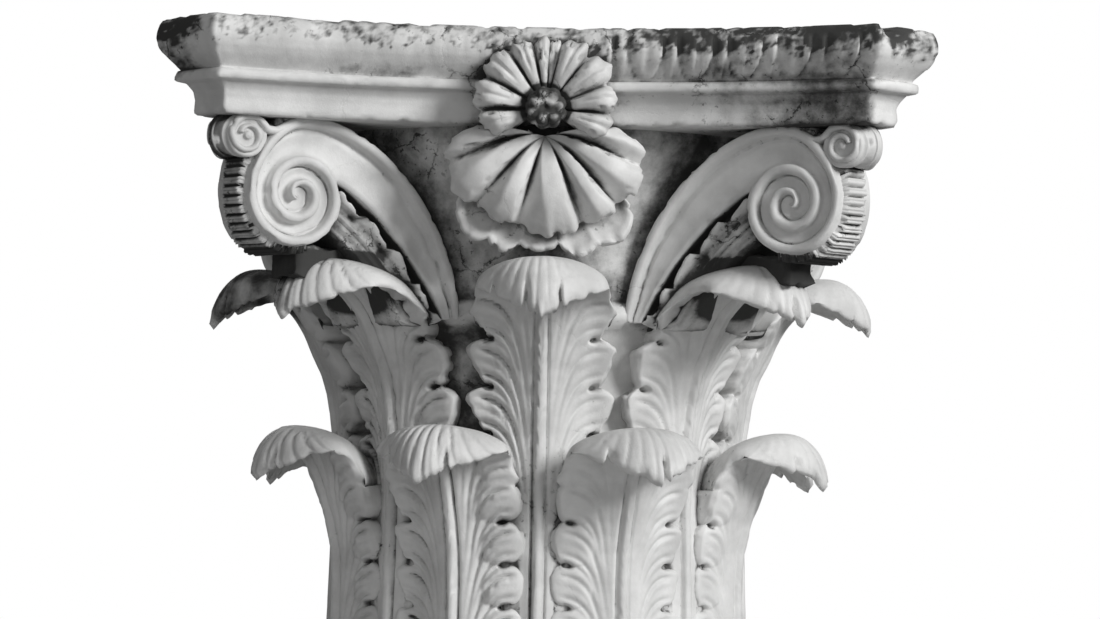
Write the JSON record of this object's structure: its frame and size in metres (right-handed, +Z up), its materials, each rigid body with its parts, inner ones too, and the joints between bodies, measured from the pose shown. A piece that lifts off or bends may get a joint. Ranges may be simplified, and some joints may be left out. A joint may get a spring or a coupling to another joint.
{
  "type": "corinthian capital",
  "caption": "Weathered marble Corinthian capital with two rows of acanthus leaves, corner volutes and a concave-sided abacus with flowers.",
  "frame": {"origin": "centre of the flat underside, where the capital sits on its shaft", "axes": "+Z up along the column's axis, -Y out of one side of the abacus, +X out of the next; the volutes point along the diagonals"},
  "size_m": [1.0906, 1.0906, 0.87],
  "materials": {
    "marble": "carved and weathered, matt"
  },
  "bodies": {
    "root": {"capital": "marble"}
  },
  "joints": []
}
